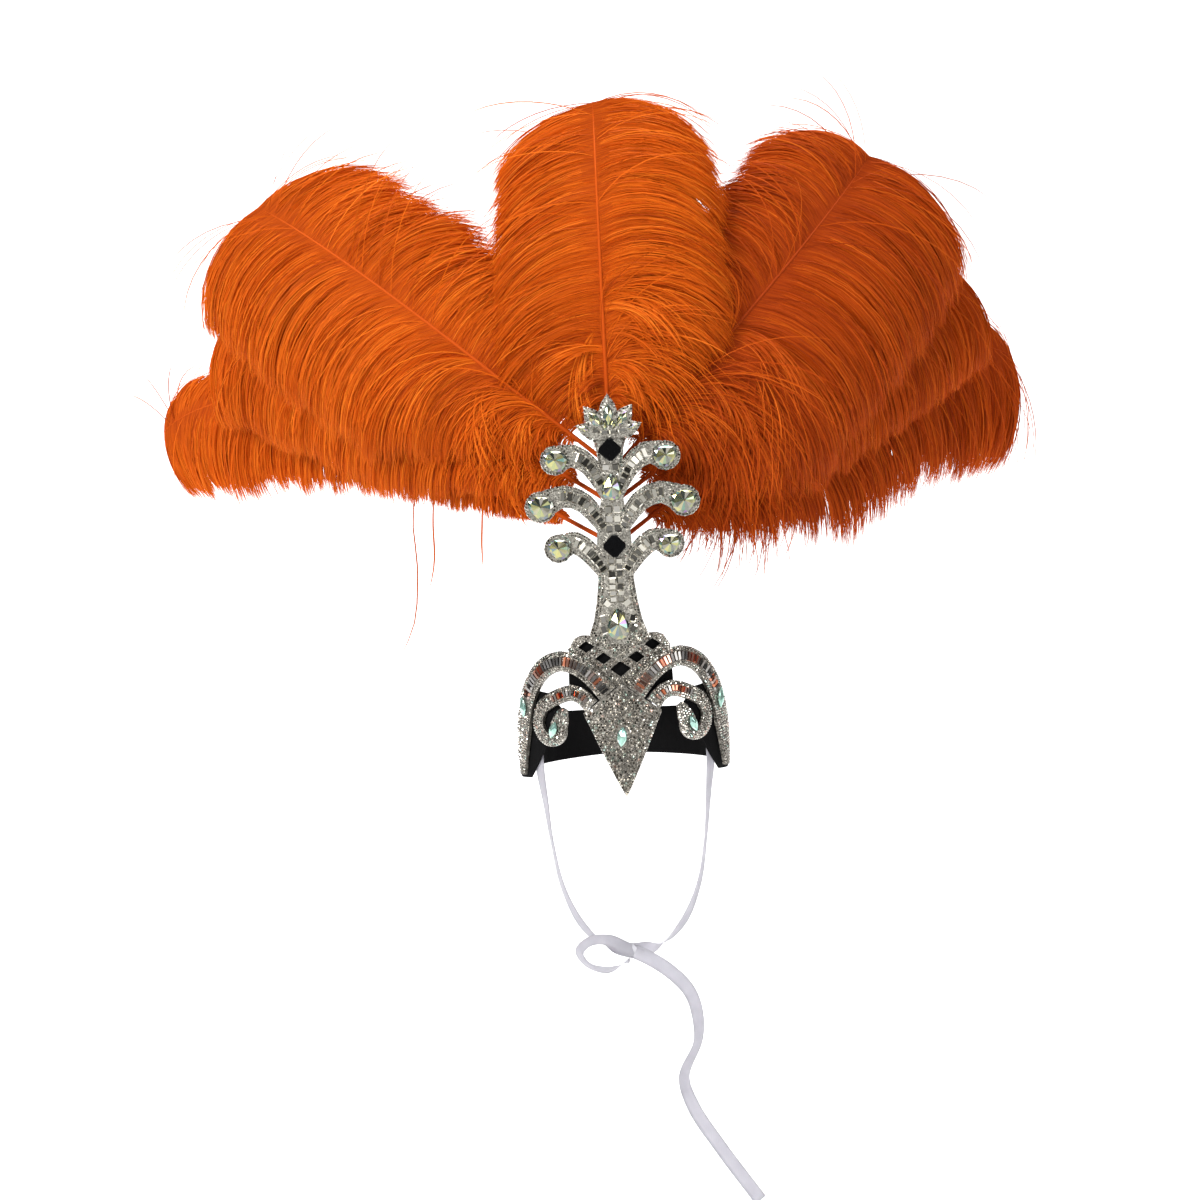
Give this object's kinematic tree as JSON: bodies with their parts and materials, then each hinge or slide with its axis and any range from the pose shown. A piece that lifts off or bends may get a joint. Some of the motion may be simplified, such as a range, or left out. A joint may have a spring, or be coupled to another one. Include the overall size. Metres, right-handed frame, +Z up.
{
  "type": "showgirl feather headdress",
  "caption": "Showgirl headdress: pierced silver crown front with brow peak and scrolls, upright jewelled spire, fan of orange ostrich plumes, black felt head band and white ribbon chin ties.",
  "frame": {"origin": "middle of the head opening at brow level, where the head holds the headdress", "axes": "+Z up, the front faces -Y, +X to the viewer's right when seen from the front"},
  "size_m": [0.8879, 0.3986, 0.9804],
  "materials": {
    "silver_glitter": "silver glitter cloth over foam, set with rhinestones and mirror tiles",
    "crystal": "cut crystal with an iridescent coat",
    "jet": "polished black",
    "mint_crystal": "cut pale green crystal",
    "plume_bright": "dyed ostrich feather",
    "plume_deep": "dyed ostrich feather, in shade",
    "satin_ribbon": "white satin",
    "black_felt": "matt black felt",
    "holder": "plain"
  },
  "bodies": {
    "root": {"v_peak": "silver_glitter", "arch_left": "silver_glitter", "arch_right": "silver_glitter", "scroll_left": "silver_glitter", "scroll_right": "silver_glitter", "lattice_collar": "silver_glitter", "spire": "silver_glitter", "finial_lotus": "silver_glitter", "arm_stone_top_left": "crystal", "arm_stone_top_right": "crystal", "arm_stone_middle_left": "crystal", "arm_stone_middle_right": "crystal", "arm_stone_bottom_left": "crystal", "arm_stone_bottom_right": "crystal", "drop_stone": "crystal", "base_stone": "crystal", "black_square_upper": "jet", "black_square_lower": "jet", "peak_marquise": "mint_crystal", "arch_marquise_left": "mint_crystal", "arch_marquise_right": "mint_crystal", "scroll_marquise_left": "mint_crystal", "scroll_marquise_right": "mint_crystal", "plume_centre": "plume_bright", "plume_upper_left": "plume_bright", "plume_middle_left": "plume_bright", "plume_lower_left": "plume_bright", "plume_upper_right": "plume_deep", "plume_middle_right": "plume_deep", "plume_lower_right": "plume_deep", "tie_left": "satin_ribbon", "tie_right": "satin_ribbon", "tie_knot": "satin_ribbon", "tie_loop": "satin_ribbon", "tie_end": "satin_ribbon", "head_band": "black_felt", "lattice_lining": "black_felt", "crown_strap": "black_felt", "plume_holder": "holder"}
  },
  "joints": []
}
